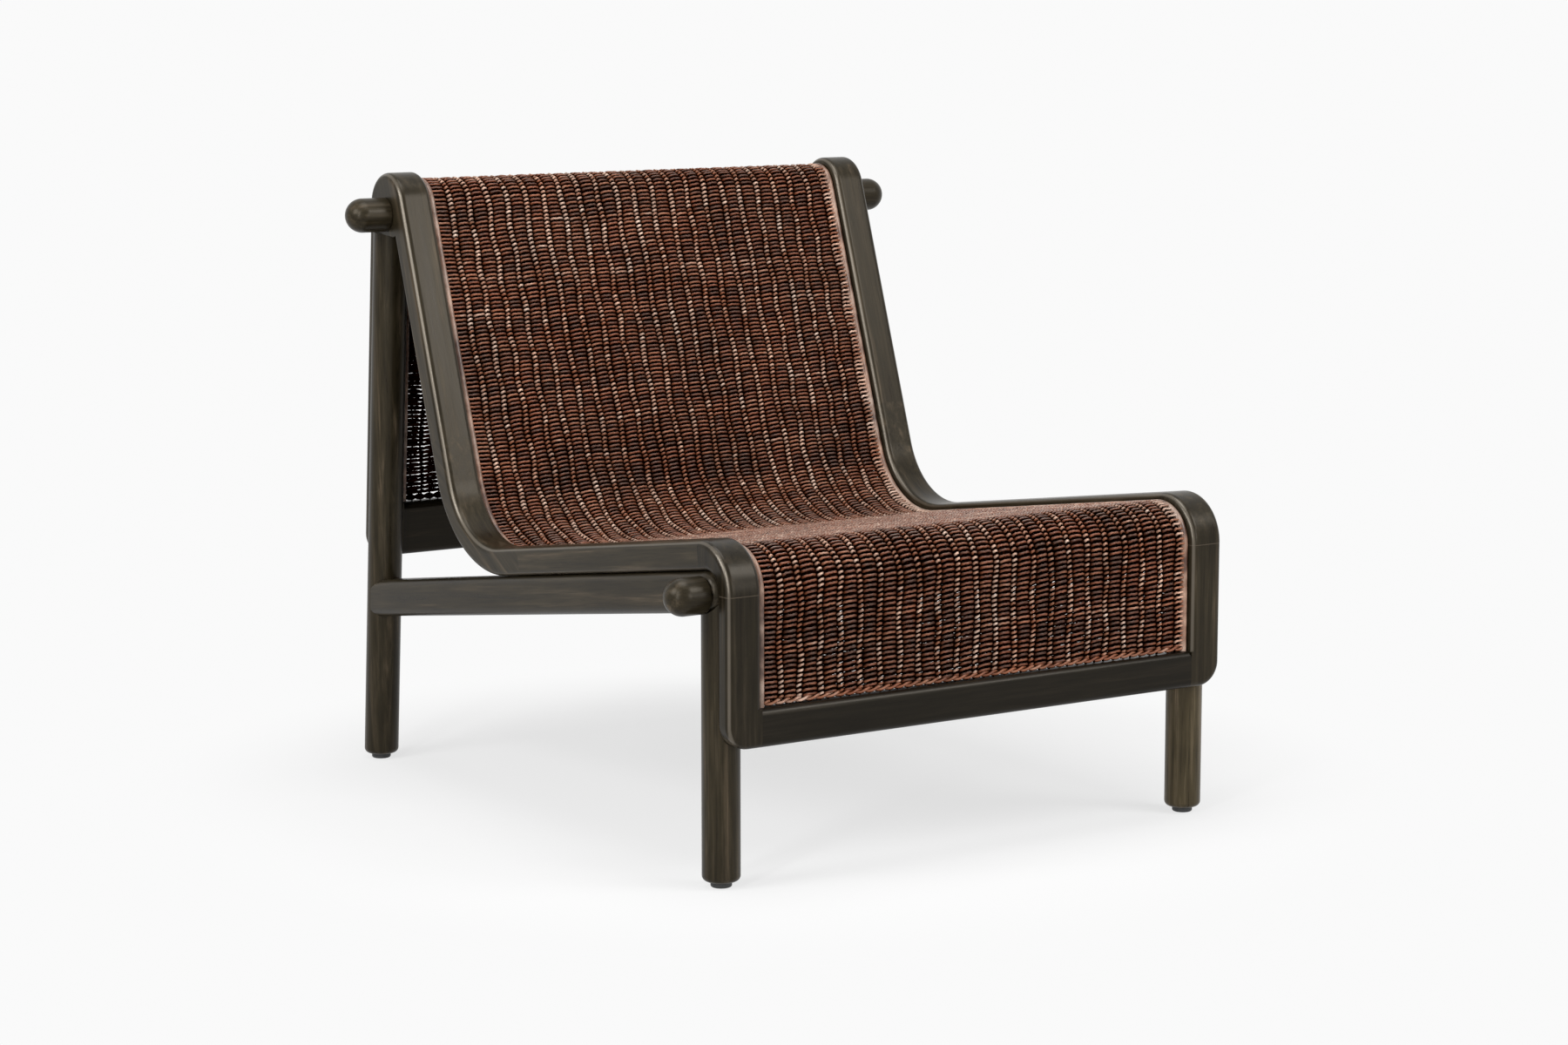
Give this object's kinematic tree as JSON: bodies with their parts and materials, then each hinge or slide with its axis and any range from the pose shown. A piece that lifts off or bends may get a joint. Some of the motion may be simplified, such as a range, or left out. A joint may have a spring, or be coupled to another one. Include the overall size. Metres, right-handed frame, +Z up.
{
  "type": "lounge_chair",
  "caption": "Low lounge chair with bent dark-stained wooden side frames, turned round legs, through cross bars with round knobs, and one woven sling over seat and back",
  "frame": {"origin": "on the floor, under the middle of the chair's length and width", "axes": "X across the chair, Y from front to back, Z up"},
  "size_m": [0.834, 0.9043, 0.782],
  "materials": {
    "stained_wood": "dark charcoal-brown stain, satin",
    "woven_strand": "woven dark brown strand with reddish and tan variation",
    "edge_binding": "smooth peeled cane, brown",
    "dowel_wood": "plain turned hardwood",
    "pin_steel": "drawn steel",
    "glide_plastic": "matte black"
  },
  "bodies": {
    "root": {"back_rail_left": "stained_wood", "back_rail_right": "stained_wood", "bottom_rail_dowels": "dowel_wood", "edge_pins": "pin_steel", "edge_rod_left": "edge_binding", "edge_rod_right": "edge_binding", "front_bend_left": "stained_wood", "front_bend_right": "stained_wood", "front_bottom_rail": "stained_wood", "front_cross_bar": "stained_wood", "front_drop_left": "stained_wood", "front_drop_right": "stained_wood", "front_glide_left": "glide_plastic", "front_glide_right": "glide_plastic", "front_knob_left": "stained_wood", "front_leg_left": "stained_wood", "front_leg_right": "stained_wood", "glide_pins": "pin_steel", "lap_dowels": "dowel_wood", "leg_dowels": "dowel_wood", "rail_dowels": "dowel_wood", "rear_bottom_rail": "stained_wood", "rear_drop_left": "stained_wood", "rear_drop_right": "stained_wood", "rear_glide_left": "glide_plastic", "rear_glide_right": "glide_plastic", "rear_leg_left": "stained_wood", "rear_leg_right": "stained_wood", "seat_bend_left": "stained_wood", "seat_bend_right": "stained_wood", "seat_rail_left": "stained_wood", "seat_rail_right": "stained_wood", "stretcher_dowels": "dowel_wood", "stretcher_left": "stained_wood", "stretcher_right": "stained_wood", "top_bend_left": "stained_wood", "top_bend_right": "stained_wood", "top_cross_bar": "stained_wood", "top_knob_left": "stained_wood", "top_knob_right": "stained_wood", "woven_sling": "woven_strand"}
  },
  "joints": []
}
